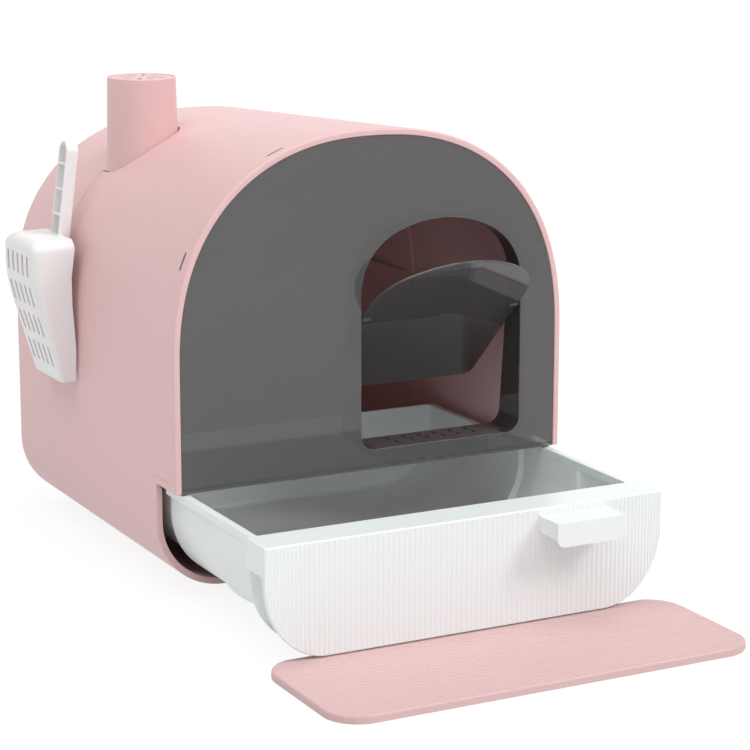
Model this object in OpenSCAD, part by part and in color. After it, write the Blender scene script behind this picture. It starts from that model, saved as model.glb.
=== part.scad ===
/* [Housing] */
// Width of the housing across its straight sides
body_width = 455; // [430:1:480]
// Depth of the housing, hood front to back wall
body_depth = 470; // [440:1:500]
// Height at which the straight sides turn into the arched roof
spring_height = 248.7; // [235:0.1:262]
// Rise of the arch above the straight sides at the front
front_rise = 230.9; // [215:0.1:245]
// Rise of the arch at the back: the roof falls a little to the rear
rear_rise = 204.4; // [195:0.1:214]
// Squareness of the arch: 2 is a true ellipse
arch_power = 2.307; // [2:0.001:2.6]
// Radius of the two lower corners
corner_radius = 76; // [70:1:84]
// Moulded wall thickness
wall = 3.2; // [2.6:0.1:4]
// Width of the thick rim round the hood mouth
rim = 6.8; // [5.5:0.1:8]
// Depth of that rim
rim_depth = 13; // [10:1:16]
// Thickness of the rim round the drawer mouth
base_rim = 7; // [6:0.1:7.4]
// How far the base stands back from the hood mouth
base_setback = 52.5; // [46:0.5:60]
// Height of the hood's lower front edge
hood_edge = 119; // [116:0.5:124]

/* [Rear cover and chimney] */
// Depth coordinate of the cover's front seam
cover_front = 99; // [92:1:104]
// Open seam between cover and housing
seam = 1; // [0.6:0.1:1.4]
// Chimney centre, across
chimney_x = -127; // [-132:1:-120]
// Chimney centre, along the depth
chimney_y = 81; // [78:1:86]
// Chimney radius where it meets the roof
chimney_foot_radius = 40.8; // [38:0.1:43]
// Chimney radius at its top
chimney_top_radius = 38; // [36:0.1:40]
// Height of the chimney top
chimney_top = 509.6; // [500:0.1:520]

/* [Front panel and flap] */
// Thickness of the tinted panel
panel_thickness = 2.6; // [2:0.1:3]
// Centre of the entrance, across
entrance_x = 81.2; // [60:0.1:90]
// Half width of the entrance
entrance_half = 96.1; // [90:0.1:100]
// Height of the entrance sill
sill = 140; // [138:0.5:146]
// Height of the top of the entrance
entrance_top = 381.2; // [376:0.1:390]
// Depth of the entry tunnel behind the panel, at the sill
tunnel_depth = 41.5; // [38:0.1:46]
// Height of the flap's pivot
pivot_height = 280.6; // [279:0.1:284]
// Tilt at which the flap is shown
flap_tilt = 46.2; // [30:0.1:60]

/* [Drawer] */
// How far the drawer is pulled out
drawer_out = 205; // [150:1:205]
// Half width of the drawer front
front_half = 225; // [222:0.5:226]
// Height of the drawer front's top ledge
drawer_top = 117.6; // [115:0.1:118]
// Depth of the drawer front, face to back
front_depth = 43; // [38:1:46]
// Half width of the tub's middle part
tub_half = 213.5; // [211:0.1:214.5]
// Outward step at the tub's front part
tub_step = 3.5; // [2.5:0.1:4]
// Inward step at the tub's rear part
rear_step = 4.5; // [3:0.1:5.5]
// Tub wall thickness
tub_wall = 2.6; // [2:0.1:3]
// Handle centre, across
handle_x = 118.2; // [-120:0.1:130]
// Handle width
handle_width = 78.5; // [60:0.5:100]
// How far the handle stands out
handle_reach = 35; // [28:1:40]

/* [Scoop and mat] */
// Width of the scoop head
scoop_width = 97; // [90:1:104]
// Slots in one row of the scoop
slots_per_row = 5; // [3:1:6]
// Mat size, across
mat_width = 463.4; // [440:0.1:480]
// Mat size, front to back
mat_depth = 172.2; // [150:0.1:190]
// Mat thickness
mat_thickness = 8; // [6:0.5:8]
// How far the mat lies under the drawer front
mat_tuck = 12.6; // [0:0.1:20]
// Height of the plinth that lifts the base and drawer over the mat
plinth_height = 8.4; // [8.4:0.1:9]

/* [Hidden] */

half_width = body_width / 2;
half_depth = body_depth / 2;
rear_narrowing = 1.5;
arch_steps = 64;
corner_steps = 12;
sliver = 0.02;
reach = 600;

pink = "#efcdcc";
white = "#f2f2f2";
smoke = "#6c6a6b";
pale_grey = "#d7cdce";
charcoal = "#3c3a3a";
steel = "#b8b8ba";

// ---- the housing's tapered arch ----

function side_half(y) = half_width - rear_narrowing * (y + half_depth) / body_depth;
function rise(y) = front_rise + (rear_rise - front_rise) * (y + half_depth) / body_depth;
function bent(v) = sign(v) * pow(abs(v), 2 / arch_power);
function arch_point(a, w, h) = [w * bent(cos(a)), spring_height + h * bent(sin(a))];
function corner_arc(cx, r, floor_z, from) =
    [for (i = [0 : corner_steps]) let (a = from + 90 * i / corner_steps)
        [cx + r * cos(a), floor_z + r + r * sin(a)]];

// Closed cross-section of the body at depth y, every face moved inwards by inset
function section(y, inset) =
    let (w = side_half(y) - inset, r = corner_radius - inset)
    concat([for (i = [0 : arch_steps]) arch_point(180 * i / arch_steps, w, rise(y) - inset)],
           corner_arc(-(w - r), r, inset, 180),
           corner_arc(w - r, r, inset, 270));

// Plate of a cross-section standing upright, its front face at depth y
module upright(y, thickness) {
    translate([0, y + thickness, 0]) rotate([90, 0, 0]) linear_extrude(thickness) children();
}

module loft(y0, y1, inset) {
    hull() {
        upright(y0, sliver) polygon(section(y0, inset));
        upright(y1 - sliver, sliver) polygon(section(y1, inset));
    }
}

module block(x0, x1, y0, y1, z0, z1) {
    translate([x0, y0, z0]) cube([x1 - x0, y1 - y0, z1 - z0]);
}

// Everything but the mat stands on the plinth
module raised() {
    translate([0, 0, plinth_height]) children();
}

// ---- rear cover zone ----

cover_base = spring_height;
foot_depth = 12;
duct_bottom = 380;
lip_depth = 8;
lip_root = 9;
lip_play = 0.6;
lip_thick = 2.5;
lip_to_chimney = 2.5;

// Everything that belongs to the rear cover, grown forwards and down by play
module cover_zone(play) {
    foot = chimney_foot_radius + play;
    block(-reach, reach, cover_front - play, reach, cover_base - play, reach);
    translate([chimney_x, chimney_y, duct_bottom]) cylinder(h = 100, r = foot, $fn = 72);
    block(chimney_x - foot, chimney_x + foot, chimney_y, cover_front + 1, duct_bottom, reach);
}

hinge_y = half_depth + 4.9;
hinge_z = cover_base;
hinge_radius = 4.5;
hinge_pin_radius = 1.5;
running_play = 0.05;
hinge_places = [-120, 120];
hinge_body_half = 8;
hinge_cover_width = 10;
hinge_gap = 0.4;
hinge_foot = 12;

module knuckle(x0, length, up) {
    difference() {
        union() {
            translate([x0, hinge_y, hinge_z]) rotate([0, 90, 0])
                cylinder(h = length, r = hinge_radius, $fn = 32);
            block(x0, x0 + length, half_depth - 1, hinge_y,
                  min(hinge_z, hinge_z + up), max(hinge_z, hinge_z + up));
        }
        translate([x0 - 1, hinge_y, hinge_z]) rotate([0, 90, 0])
            cylinder(h = length + 2, r = hinge_pin_radius + running_play, $fn = 24);
    }
}

// ---- hood slots for the panel's snap tabs ----

tab_angles = [24.6, 65.4, 114.6, 155.4];
slot_length = 20;
slot_width = 4.4;
slot_y = -half_depth + rim_depth + slot_width / 2 + 0.1;
tab_play = 0.15;

function arch_normal(a) =
    atan2(pow(abs(bent(sin(a))), arch_power - 1) / rise(slot_y),
          sign(cos(a)) * pow(abs(bent(cos(a))), arch_power - 1) / side_half(slot_y));

// Puts children at the roof surface over angle a, with +X pointing out of the surface
module on_arch(a) {
    p = arch_point(a, side_half(slot_y), rise(slot_y));
    translate([p[0], slot_y, p[1]]) rotate([0, -arch_normal(a), 0]) children();
}

// ---- runners under the drawer, plinth and scoop hook place ----

tub_floor = 12;
step_length = 95.4;
runner_x = 120;
runner_width = 14;
runner_front = -half_depth - 1 + front_depth + 0.1 + step_length + 3;
plinth_half = 140;
plinth_front = -140;
hook_y = 79.5;
hook_z = 299.5;
hook_lean = 11.3;
hook_width = 24;
hook_screw_radius = 1.6;
hook_screw_places = [-12, 9];

// Distance of the arch's side from the middle at a height above the springing
function wall_x(y, z) =
    side_half(y) * pow(1 - pow((z - spring_height) / rise(y), arch_power), 1 / arch_power);

module at_hook() {
    translate([-wall_x(hook_y, hook_z), hook_y, hook_z]) rotate([0, 180 + hook_lean, 0]) children();
}

module body_shell() {
    raised() color(pink) {
        difference() {
            loft(-half_depth, half_depth, 0);
            intersection() {
                loft(-half_depth, half_depth - wall, wall);
                union() {
                    block(-reach, reach, -half_depth + rim_depth, reach, hood_edge - 1, reach);
                    block(-reach, reach, -half_depth + base_setback + rim_depth, reach, -1, hood_edge);
                }
            }
            intersection() {
                upright(-half_depth - 1, rim_depth + 2) polygon(section(-half_depth, rim));
                block(-reach, reach, -reach, reach, hood_edge - 1, reach);
            }
            intersection() {
                upright(-half_depth - 1, base_setback + rim_depth + 2)
                    polygon(section(-half_depth, base_rim));
                block(-reach, reach, -reach, reach, 0, hood_edge);
            }
            block(-reach, reach, -reach, -half_depth + base_setback, -1, hood_edge);
            cover_zone(seam);
            for (a = tab_angles) on_arch(a) cube([16, slot_width, slot_length], center = true);
            at_hook() for (z = hook_screw_places)
                translate([-8, 0, -z]) rotate([0, 90, 0]) cylinder(h = 12, r = hook_screw_radius, $fn = 20);
        }
        cover_lip();
        block(-plinth_half, plinth_half, plinth_front, half_depth - 9, -plinth_height, 1);
        for (side = [-1, 1])
            block(side * runner_x - runner_width / 2, side * runner_x + runner_width / 2,
                  runner_front, half_depth - 2 * wall, wall - 0.5, tub_floor - 0.4);
        for (x = hinge_places) knuckle(x - hinge_body_half, 2 * hinge_body_half, -hinge_foot);
    }
}

// Inner lip that the rear cover closes over
module cover_lip() {
    clear = chimney_foot_radius + lip_to_chimney;
    difference() {
        union() {
            intersection() {
                loft(cover_front - lip_root, half_depth - wall - lip_play, wall + lip_play);
                lip_zone(lip_depth);
            }
            intersection() {
                loft(cover_front - lip_root, half_depth - wall + 0.4, wall - 0.4);
                lip_zone(-seam - 0.2);
            }
        }
        loft(cover_front - 20, half_depth - wall - lip_play - lip_thick, wall + lip_play + lip_thick);
        translate([chimney_x, chimney_y, duct_bottom]) cylinder(h = 100, r = clear, $fn = 48);
        block(chimney_x - clear, chimney_x + clear, chimney_y, reach, duct_bottom, reach);
    }
}

module lip_zone(past) {
    block(-reach, reach, cover_front - lip_root, cover_front + past, cover_base - lip_root, reach);
    block(-reach, reach, cover_front - lip_root, reach, cover_base - lip_root, cover_base + past);
}

// ---- chimney ----

cap_thick = 3;
cap_recess = 0.5;
cap_radius = 34.9;
ledge_radius = 33.2;
ledge_z = chimney_top - cap_recess - cap_thick;

module chimney_outer() {
    translate([chimney_x, chimney_y, duct_bottom])
        cylinder(h = chimney_top - duct_bottom, r1 = chimney_foot_radius, r2 = chimney_top_radius, $fn = 96);
}

module chimney_bore() {
    translate([chimney_x, chimney_y, duct_bottom - 1])
        cylinder(h = ledge_z - duct_bottom + 1, r = ledge_radius, $fn = 96);
    translate([chimney_x, chimney_y, ledge_z]) cylinder(h = 20, r = cap_radius + 0.3, $fn = 96);
}

module rear_cover() {
    raised() color(pink) {
        difference() {
            union() {
                difference() {
                    intersection() {
                        loft(-half_depth, half_depth, 0);
                        cover_zone(0);
                    }
                    loft(-half_depth - 1, half_depth - wall, wall);
                }
                difference() {
                    chimney_outer();
                    loft(-half_depth - 1, half_depth - wall, foot_depth);
                }
            }
            chimney_bore();
        }
        for (x = hinge_places, side = [-1, 1])
            knuckle(x + side * (hinge_body_half + hinge_gap + hinge_cover_width / 2) - hinge_cover_width / 2,
                    hinge_cover_width, hinge_foot);
    }
}

module cover_hinge_pins() {
    pin_length = 2 * (hinge_body_half + hinge_gap + hinge_cover_width) - 1;
    raised() color(steel)
        for (x = hinge_places)
            translate([x - pin_length / 2, hinge_y, hinge_z]) rotate([0, 90, 0])
                cylinder(h = pin_length, r = hinge_pin_radius, $fn = 24);
}

vent_slots = 10;

module chimney_cap() {
    raised() color(pink) translate([chimney_x, chimney_y, ledge_z]) difference() {
        cylinder(h = cap_thick, r = cap_radius, $fn = 96);
        for (i = [0 : vent_slots - 1]) rotate([0, 0, i * 360 / vent_slots + 18])
            translate([11, -1.2, -1]) cube([17, 2.4, cap_thick + 2]);
        for (side = [-1, 1]) translate([0, side * 22, -1]) cylinder(h = cap_thick + 2, r = 2.3, $fn = 24);
    }
}

cup_radius = 32.6;
cup_wall = 1.6;
cup_height = 56;
cup_slots = 12;

module filter_cup() {
    raised() color(white) translate([chimney_x, chimney_y, ledge_z - cup_height]) difference() {
        cylinder(h = cup_height, r = cup_radius, $fn = 64);
        translate([0, 0, cup_wall]) cylinder(h = cup_height, r = cup_radius - cup_wall, $fn = 64);
        for (i = [0 : cup_slots - 1]) rotate([0, 0, i * 360 / cup_slots]) {
            translate([cup_radius - 5, -2, 10]) cube([10, 4, cup_height - 22]);
            translate([9, -1.5, -1]) cube([17, 3, cup_wall + 2]);
        }
    }
}

module carbon_filter() {
    raised() color(charcoal) translate([chimney_x, chimney_y, ledge_z - cup_height + cup_wall])
        cylinder(h = 40, r = cup_radius - cup_wall - 0.4, $fn = 48);
}

// ---- front panel, entry tunnel and step ----

panel_front = -half_depth + 1;
panel_back = panel_front + panel_thickness;
shoulder_radius = 68.9;
crown_radius = 132.6;
sill_radius = 16;
tunnel_wall = 2.4;
tunnel_lean = 5.4;

// Three-centred arch with rounded lower corners, grown outwards by grow
module doorway(grow) {
    shoulder = shoulder_radius + grow;
    crown = crown_radius + grow;
    half = entrance_half + grow;
    crown_z = entrance_top + grow - crown;
    shoulder_x = half - shoulder;
    shoulder_z = crown_z + sqrt(pow(crown - shoulder, 2) - pow(shoulder_x, 2));
    turn = atan2(shoulder_z - crown_z, shoulder_x);
    foot = sill_radius + grow;
    right = concat(
        [for (i = [0 : 8]) let (a = -90 + 90 * i / 8)
            [half - foot + foot * cos(a), sill - grow + foot + foot * sin(a)]],
        [for (i = [0 : 14]) let (a = turn * i / 14)
            [shoulder_x + shoulder * cos(a), shoulder_z + shoulder * sin(a)]],
        [for (i = [1 : 14]) let (a = turn + (90 - turn) * i / 14)
            [crown * cos(a), crown_z + crown * sin(a)]]);
    translate([entrance_x, 0])
        polygon(concat(right, [for (i = [len(right) - 2 : -1 : 0]) [-right[i][0], right[i][1]]]));
}

panel_play = 0.2;
panel_edge = hood_edge - 0.4;
tab_arm_inset = rim + 0.7;
tab_arm_thick = 2.4;
tab_proud = 0.8;

module front_panel() {
    raised() color(smoke) {
        upright(panel_front, panel_thickness) difference() {
            intersection() {
                polygon(section(-half_depth, rim + panel_play));
                translate([-reach, panel_edge]) square([2 * reach, reach]);
            }
            doorway(0);
        }
        for (a = tab_angles) on_arch(a) {
            arm_y = panel_back - slot_y - 0.5;
            arm_back = slot_width / 2 - tab_play;
            translate([-tab_arm_inset - tab_arm_thick, arm_y, -slot_length / 2 + 1])
                cube([tab_arm_thick, arm_back - arm_y, slot_length - 2]);
            translate([-tab_arm_inset - 0.5, -slot_width / 2 + tab_play, -slot_length / 2 + tab_play])
                cube([tab_arm_inset + 0.5 - tab_proud,
                      slot_width - 2 * tab_play, slot_length - 2 * tab_play]);
        }
    }
}

pivot_y = panel_back + 1.9;
pin_radius = 1.3;
boss_radius = 4;
boss_length = 4.5;
step_half = 77.7;
floor_thick = 2.4;
flange = 4;

module entry_tunnel() {
    start = panel_back + 0.05;
    raised() color(smoke) difference() {
        union() {
            upright(start, tunnel_depth) doorway(tunnel_wall);
            upright(start, 2) doorway(tunnel_wall + flange);
            for (side = [-1, 1])
                translate([entrance_x + side * (entrance_half + tunnel_wall - 1), pivot_y, pivot_height])
                    rotate([0, 90 * side, 0]) cylinder(h = boss_length + 1, r = boss_radius, $fn = 32);
        }
        upright(start - 1, tunnel_depth + 2) doorway(0);
        translate([entrance_x - 150, pivot_y, pivot_height]) rotate([0, 90, 0])
            cylinder(h = 300, r = pin_radius + running_play, $fn = 24);
        block(entrance_x - step_half, entrance_x + step_half, start - 1, start + tunnel_depth + 1,
              100, sill + 1);
        block(-reach, reach, -reach, start, 100, reach);
        block(-reach, reach, start - 1, start + 5, 100, panel_edge);
        // The back edge leans forwards, so that the tunnel is deepest at the sill
        translate([0, start + tunnel_depth, sill]) rotate([tunnel_lean, 0, 0])
            block(-reach, reach, 0, 100, -50, reach);
    }
}

rib_pitch = 19;
rib_count = 7;
rib_thick = 3;
rib_bottom = hood_edge;
drain_width = 3.4;
drain_length = 9.5;
// Distance of each row of drain slots from the panel, and its shift across
drain_rows = [[18.7, 4.2], [32.5, 1.1]];
step_overhang = 2.8;

module step_plate() {
    start = panel_back + 0.05;
    back = start + tunnel_depth + step_overhang;
    rib_back = back - 3;
    rib_top = sill - floor_thick + 0.5;
    outer_rib = (rib_count - 1) / 2 * rib_pitch;
    raised() color(charcoal) {
        difference() {
            block(entrance_x - step_half + 0.1, entrance_x + step_half - 0.1, start, back,
                  sill - floor_thick, sill);
            for (row = drain_rows, i = [0 : rib_count - 2])
                translate([entrance_x - outer_rib + (i + 0.5) * rib_pitch + row[1], start + row[0], sill])
                    cube([drain_width, drain_length, 4 * floor_thick], center = true);
        }
        for (i = [0 : rib_count - 1]) translate([entrance_x - outer_rib + i * rib_pitch, 0, 0])
            block(-rib_thick / 2, rib_thick / 2, start + 0.5, rib_back, rib_bottom, rib_top);
        block(entrance_x - outer_rib, entrance_x + outer_rib, rib_back - 2, rib_back, rib_bottom, rib_top);
    }
}

// ---- flap ----

flap_half = 93.9;
flap_thick = 2.6;
flap_low = 139.2;
flap_shoulder = 59.6;
flap_shoulder_z = 22.6;
flap_crown = 120.4;
flap_top = 92.7;
flap_corner = 11;
barrel_radius = 2.8;
barrel_length = 10;

// Flap blank in its own plane, pivot at the origin
module flap_outline() {
    shoulder_x = flap_half - flap_shoulder;
    crown_z = flap_top - flap_crown;
    turn = atan2(flap_shoulder_z - crown_z, shoulder_x);
    right = concat(
        [for (i = [0 : 6]) let (a = -90 + 90 * i / 6)
            [flap_half - flap_corner + flap_corner * cos(a), -flap_low + flap_corner + flap_corner * sin(a)]],
        [for (i = [0 : 12]) let (a = turn * i / 12)
            [shoulder_x + flap_shoulder * cos(a), flap_shoulder_z + flap_shoulder * sin(a)]],
        [for (i = [1 : 12]) let (a = turn + (90 - turn) * i / 12)
            [flap_crown * cos(a), crown_z + flap_crown * sin(a)]]);
    polygon(concat(right, [for (i = [len(right) - 2 : -1 : 0]) [-right[i][0], right[i][1]]]));
}

module at_flap() {
    translate([entrance_x, pivot_y, pivot_height]) rotate([flap_tilt, 0, 0]) children();
}

module flap() {
    raised() color(smoke) at_flap() difference() {
        union() {
            upright(-flap_thick / 2, flap_thick) flap_outline();
            for (side = [-1, 1]) translate([side * (flap_half - barrel_length / 2), 0, 0]) rotate([0, 90, 0])
                cylinder(h = barrel_length, r = barrel_radius, center = true, $fn = 32);
        }
        for (side = [-1, 1]) translate([side * (flap_half - barrel_length / 2 + 0.5), 0, 0])
            rotate([0, 90, 0])
                cylinder(h = barrel_length - 1 + sliver, r = pin_radius + sliver, center = true, $fn = 24);
    }
}

pin_length = barrel_length + boss_length + 1.5;

module flap_pins() {
    raised() color(steel) for (side = [-1, 1])
        translate([entrance_x + side * (flap_half - barrel_length + 1), pivot_y, pivot_height])
            rotate([0, 90 * side, 0]) cylinder(h = pin_length, r = pin_radius, $fn = 24);
}

// ---- drawer ----

face_y = -half_depth - drawer_out - 1;
front_back = face_y + front_depth;
tub_front = front_back + 0.1;
tub_back = tub_front + 420;
tub_step_y = tub_front + step_length;
rear_step_y = -half_depth + 55;
tub_corner = 65;
tub_top = drawer_top - 0.8;
tub_low = tub_floor - 2.5;
rim_flange = 2.2;
rim_tall = 8.4;
rear_flange = 4.5;
rear_rim_tall = 4;

// U-shaped outline: half width, top and bottom heights, lower corner radii across and up
module u_outline(half, top, bottom, rx, rz) {
    steps = 14;
    polygon(concat([[half, top], [-half, top]],
        [for (i = [0 : steps]) let (a = 180 + 90 * i / steps)
            [-half + rx + rx * cos(a), bottom + rz + rz * sin(a)]],
        [for (i = [0 : steps]) let (a = 270 + 90 * i / steps)
            [half - rx + rx * cos(a), bottom + rz + rz * sin(a)]]));
}

module tub_section(half, floor_z, inset, top) {
    u_outline(half - inset, top, floor_z + inset, tub_corner - inset, tub_corner - inset);
}

// Three stretches, each smaller than the one before it, under a straight rim; the rear one rides on two skids
module drawer_tub() {
    wide = tub_half + tub_step;
    small = tub_half - rear_step;
    high = tub_floor + rear_step;
    rear_top = tub_top - rear_step;
    raised() color(white) difference() {
        union() {
            upright(tub_front, tub_step_y - tub_front) tub_section(wide, tub_low, 0, tub_top);
            upright(tub_step_y - 1, rear_step_y - tub_step_y + 1) tub_section(tub_half, tub_floor, 0, tub_top);
            upright(rear_step_y - 1, tub_back - rear_step_y + 1) tub_section(small, high, 0, rear_top);
            block(-wide - rim_flange, wide + rim_flange, tub_front, rear_step_y, tub_top - rim_tall, tub_top);
            block(-small - rear_flange, small + rear_flange, rear_step_y - 1, tub_back,
                  rear_top - rear_rim_tall, rear_top);
            for (side = [-1, 1])
                block(side * runner_x - runner_width / 2, side * runner_x + runner_width / 2,
                      rear_step_y - 1, tub_back, tub_floor, high + 0.5);
        }
        upright(tub_front + tub_wall, tub_step_y - tub_front - 2 * tub_wall)
            tub_section(wide, tub_low, tub_wall, tub_top - rim_tall);
        upright(tub_front + tub_wall, rear_step_y - tub_front - 2 * tub_wall)
            tub_section(tub_half, tub_floor, tub_wall, reach);
        upright(tub_front + tub_wall, tub_back - tub_front - 2 * tub_wall)
            tub_section(small, high, tub_wall, reach);
    }
}

plate_thick = 4;
skirt_wall = 2.5;
lip_back = 13;
skirt_inset = 10;
back_edge_inset = 3;
shoulder_bottom = 87;
face_rx = 68;
face_rz = 79;
face_bottom = 0.6;

module face_outline(inset, top) {
    u_outline(front_half - inset, top, face_bottom + inset, face_rx - inset, face_rz - inset);
}

handle_half = handle_width / 2;
handle_top = 110;
handle_low = 85;
handle_side_low = 93;
handle_wall = 3;
handle_back = 2.5;
handle_corner = 9;
screw_places = [-23, 23];
screw_z = 101;
screw_radius = 1.5;

module handle_screw_holes(r) {
    for (x = screw_places) translate([handle_x + x, face_y - 8, screw_z]) rotate([-90, 0, 0])
        cylinder(h = 14, r = r, $fn = 24);
}

module drawer_front() {
    raised() color(white) difference() {
        union() {
            upright(face_y, lip_back) face_outline(0, drawer_top);
            upright(face_y, front_depth) face_outline(skirt_inset, drawer_top);
            upright(front_back - plate_thick, plate_thick) face_outline(back_edge_inset, drawer_top);
            block(-front_half, front_half, face_y, front_back, shoulder_bottom, drawer_top);
        }
        upright(face_y + plate_thick, front_depth)
            face_outline(skirt_inset + skirt_wall, drawer_top - skirt_wall);
        upright(face_y + plate_thick, lip_back - plate_thick - skirt_wall)
            face_outline(skirt_wall, drawer_top - skirt_wall);
        block(-front_half + skirt_wall, front_half - skirt_wall, face_y + plate_thick, front_back + 1,
              shoulder_bottom + skirt_wall, drawer_top - skirt_wall);
        handle_screw_holes(screw_radius + 0.1);
    }
}

module drawer_handle() {
    front = face_y - handle_reach;
    raised() color(white) difference() {
        union() {
            block(handle_x - handle_half, handle_x + handle_half, front + 1, face_y,
                  handle_top - handle_wall, handle_top);
            upright(front, handle_wall) translate([handle_x, 0])
                u_outline(handle_half, handle_top, handle_low, handle_corner, handle_corner);
            for (side = [-1, 1]) translate([handle_x + side * (handle_half - handle_wall / 2), 0, 0])
                block(-handle_wall / 2, handle_wall / 2, front + 1, face_y, handle_side_low, handle_top);
            block(handle_x - handle_half, handle_x + handle_half, face_y - handle_back, face_y,
                  handle_side_low, handle_top);
            for (x = screw_places) translate([handle_x + x, face_y - 8, screw_z]) rotate([-90, 0, 0])
                cylinder(h = 8, r = 3.6, $fn = 24);
        }
        handle_screw_holes(screw_radius + running_play);
    }
}

module handle_screws() {
    raised() color(steel) for (x = screw_places)
        translate([handle_x + x, face_y - 7, screw_z]) rotate([-90, 0, 0]) {
        cylinder(h = 7 + plate_thick, r = screw_radius, $fn = 24);
        translate([0, 0, 7 + plate_thick]) cylinder(h = 2, r = 3, $fn = 24);
    }
}

// ---- scoop on its hook ----

scoop_y = 79.5;
scoop_top = 341.5;
scoop_bottom = 182;
scoop_out = 278;
scoop_lip_x = 246;
scoop_back = 229;
scoop_wall = 2.4;
slot_rows = 4;
scoop_slot = 5.6;
slot_pitch_y = 15;
slot_low = 300.5;
slot_high = 24;
slot_pitch_z = 34;
grip_width = 25;
grip_depth = 13.5;
grip_length = 98;
grip_side = 2.6;
grip_floor = 2.4;
grip_rib = 2.4;
grip_ribs = [28, 56, 84];
grip_lean = 7.6;

// Side profile of the head: outward distance against height, moved inwards by inset
module head_profile(inset) {
    polygon([[-scoop_back + 2 * inset, scoop_top - 6 - inset], [-scoop_back + 2 * inset, scoop_bottom + 8],
             [-scoop_lip_x + inset, scoop_bottom - 2 * inset], [-scoop_out + inset, 292],
             [-scoop_out + inset, scoop_top - 13 - inset], [-scoop_out + 10, scoop_top - inset]]);
}

module head_block(inset) {
    width = scoop_width - 2 * inset;
    intersection() {
        upright(scoop_y - width / 2, width) head_profile(inset);
        translate([-reach, scoop_y, 0]) rotate([90, 0, 90]) linear_extrude(reach)
            polygon([[-width / 2 + 12, scoop_top + 1], [-width / 2, scoop_top - 14], [-width / 2, 225],
                     [-width / 2 + 10, scoop_bottom - 20], [width / 2 - 10, scoop_bottom - 20],
                     [width / 2, 225], [width / 2, scoop_top - 14], [width / 2 - 12, scoop_top + 1]]);
    }
}

// Grip channel leaning in towards the roof, its groove facing outwards
module grip() {
    half = grip_width / 2;
    groove = half - grip_side;
    translate([-228.5, scoop_y, scoop_top - 7.8]) rotate([0, grip_lean, 0]) difference() {
        union() {
            block(-grip_depth / 2, grip_depth / 2, -half, half, 0, grip_length);
            translate([0, 0, grip_length]) rotate([0, 90, 0])
                cylinder(h = grip_depth, r = half, center = true, $fn = 40);
        }
        difference() {
            union() {
                block(-grip_depth, grip_depth / 2 - grip_floor, -groove, groove, 6, grip_length);
                translate([-grip_depth, 0, grip_length]) rotate([0, 90, 0])
                    cylinder(h = grip_depth * 1.5 - grip_floor, r = groove, $fn = 40);
            }
            for (z = grip_ribs) block(-grip_depth / 2 + 3, grip_depth, -half, half, z, z + grip_rib);
        }
    }
}

module scoop() {
    raised() color(pale_grey) {
        difference() {
            head_block(0);
            head_block(scoop_wall);
            for (row = [0 : slot_rows - 1], i = [0 : slots_per_row - 1])
                translate([-300, scoop_y + (i - (slots_per_row - 1) / 2) * slot_pitch_y - scoop_slot / 2,
                           slot_low - row * slot_pitch_z])
                    cube([50, scoop_slot, slot_high]);
        }
        grip();
    }
}

hook_reach = 26;

module scoop_hook() {
    raised() color(pink) at_hook() difference() {
        union() {
            block(0.1, 3.6, -hook_width / 2, hook_width / 2, -18, 18);
            block(3, hook_reach, -hook_width / 2, hook_width / 2, -20, -16);
            block(hook_reach - 3.5, hook_reach, -hook_width / 2, hook_width / 2, -30, -16);
        }
        for (z = hook_screw_places) translate([-1, 0, -z]) rotate([0, 90, 0])
            cylinder(h = 8, r = hook_screw_radius, $fn = 20);
    }
}

module hook_screws() {
    raised() color(steel) at_hook() for (z = hook_screw_places) translate([-6, 0, -z]) rotate([0, 90, 0]) {
        cylinder(h = 9.6, r = hook_screw_radius - 0.05, $fn = 20);
        translate([0, 0, 9.6]) cylinder(h = 2, r = 3, $fn = 24);
    }
}

// ---- mat ----

mat_corner = 36;
mat_x = 5.6;

module mat() {
    back = face_y + mat_tuck;
    color(pink) hull()
        for (x = [-1, 1] * (mat_width / 2 - mat_corner), y = [mat_corner - mat_depth, -mat_corner])
            translate([mat_x + x, back + y, 0]) cylinder(h = mat_thickness, r = mat_corner, $fn = 32);
}

body_shell();
rear_cover();
cover_hinge_pins();
front_panel();
entry_tunnel();
step_plate();
flap();
flap_pins();
chimney_cap();
filter_cup();
carbon_filter();
drawer_tub();
drawer_front();
drawer_handle();
handle_screws();
scoop();
scoop_hook();
hook_screws();
mat();
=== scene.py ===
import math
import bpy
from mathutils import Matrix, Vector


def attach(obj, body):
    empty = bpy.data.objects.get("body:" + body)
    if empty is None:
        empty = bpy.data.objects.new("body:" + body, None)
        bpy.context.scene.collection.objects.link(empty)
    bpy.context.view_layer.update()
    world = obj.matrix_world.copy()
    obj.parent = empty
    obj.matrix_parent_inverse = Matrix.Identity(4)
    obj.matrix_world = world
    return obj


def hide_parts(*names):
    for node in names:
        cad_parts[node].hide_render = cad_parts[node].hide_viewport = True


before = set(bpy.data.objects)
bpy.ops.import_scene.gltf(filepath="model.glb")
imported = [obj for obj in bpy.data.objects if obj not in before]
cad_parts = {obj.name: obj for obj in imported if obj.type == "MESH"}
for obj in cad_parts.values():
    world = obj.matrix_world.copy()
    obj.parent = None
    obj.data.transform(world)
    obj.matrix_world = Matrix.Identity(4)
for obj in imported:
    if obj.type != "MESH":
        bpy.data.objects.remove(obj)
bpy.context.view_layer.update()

# ---- Camera ----
# A long lens stands to the front left, a little above the chimney, and takes in the mat and the open drawer.
# Lengths in this script are millimetres, with +Z up and the drawer pulling out towards -Y.

MM = 0.001
picture_px = 750
focal_px = 2476.4
sight_end = 40000
camera_place = Vector((-1172.3, -2475.1, 806.5)) * MM
# Turns of the camera in radians: from +Y to the right, down from level, and about its own line of sight
camera_yaw = 0.48229
camera_pitch = 0.22445
camera_roll = -0.0015

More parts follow.
